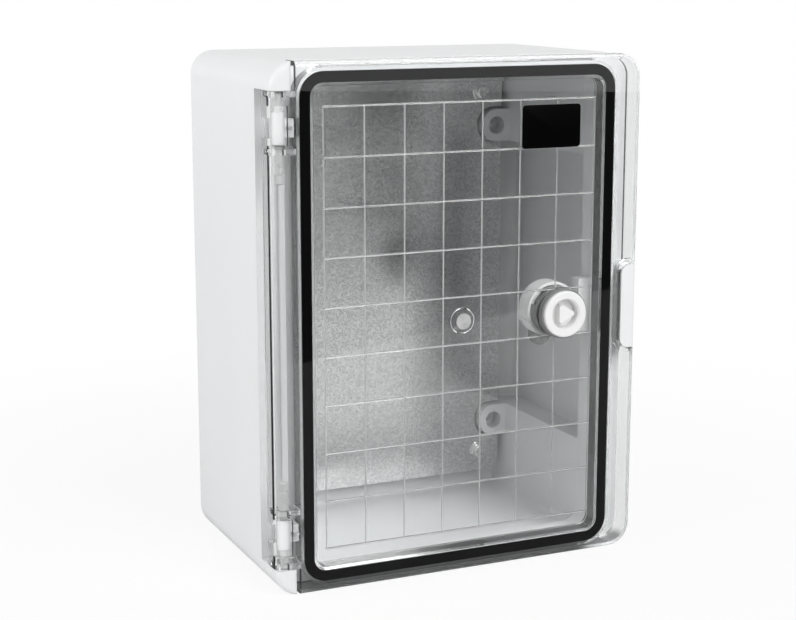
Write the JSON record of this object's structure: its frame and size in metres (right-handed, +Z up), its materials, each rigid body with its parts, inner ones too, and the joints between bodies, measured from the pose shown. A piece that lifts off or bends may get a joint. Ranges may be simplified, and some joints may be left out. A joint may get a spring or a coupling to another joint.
{
  "type": "plastic electrical cabinet",
  "caption": "Rectangular white plastic wall cabinet with a clear gridded door on pull-out hinge pins, a foam gasket, a triangular-key quarter-turn lock and a steel mounting plate.",
  "frame": {"origin": "middle of the bounding box at the underside, where the cabinet stands", "axes": "+Z up, +Y from the door towards the wall, +X to the right as seen from the front"},
  "size_m": [0.2, 0.136, 0.26],
  "materials": {
    "housing_abs": "fine satin white ABS",
    "brass": "knurled brass",
    "galvanised_steel": "speckled zinc coat",
    "zinc_steel": "bright zinc",
    "clear_door": "clear polished polycarbonate",
    "gasket_foam": "closed-cell black foam",
    "pin_plastic": "satin white",
    "lock_grey": "dark grey nylon",
    "lock_white": "satin white",
    "seal_rubber": "black rubber"
  },
  "bodies": {
    "housing": {"base_housing": "housing_abs", "threaded_inserts": "brass", "mounting_plate": "galvanised_steel", "plate_washers": "zinc_steel", "plate_screws": "zinc_steel"},
    "door_leaf": {"door": "clear_door", "door_gasket": "gasket_foam", "lock_body": "lock_grey", "lock_bezel": "lock_white", "lock_seal": "seal_rubber", "lock_spacer": "lock_grey", "lock_nut": "lock_white"},
    "lock_rotor": {"lock_core": "lock_white", "lock_oring": "seal_rubber", "cam_washer": "zinc_steel", "cam_latch": "galvanised_steel", "cam_lock_washer": "zinc_steel", "cam_screw": "zinc_steel"},
    "upper_pin": {"hinge_pin_upper": "pin_plastic"},
    "lower_pin": {"hinge_pin_lower": "pin_plastic"}
  },
  "joints": [
    {"name": "door_hinge", "type": "hinge", "parent": "housing", "child": "door_leaf", "pos_m": [-0.0945, -0.0565, 0.13], "axis": [0, 0, -1], "range_deg": [0, 110]},
    {"name": "lock_turn", "type": "hinge", "parent": "door_leaf", "child": "lock_rotor", "pos_m": [0.055, -0.062, 0.13], "axis": [0, -1, 0], "range_deg": [0, 90]},
    {"name": "upper_pin_pull", "type": "slide", "parent": "door_leaf", "child": "upper_pin", "axis": [0, 0, -1], "range_m": [0, 0.028]},
    {"name": "lower_pin_pull", "type": "slide", "parent": "door_leaf", "child": "lower_pin", "axis": [0, 0, 1], "range_m": [0, 0.028]}
  ]
}
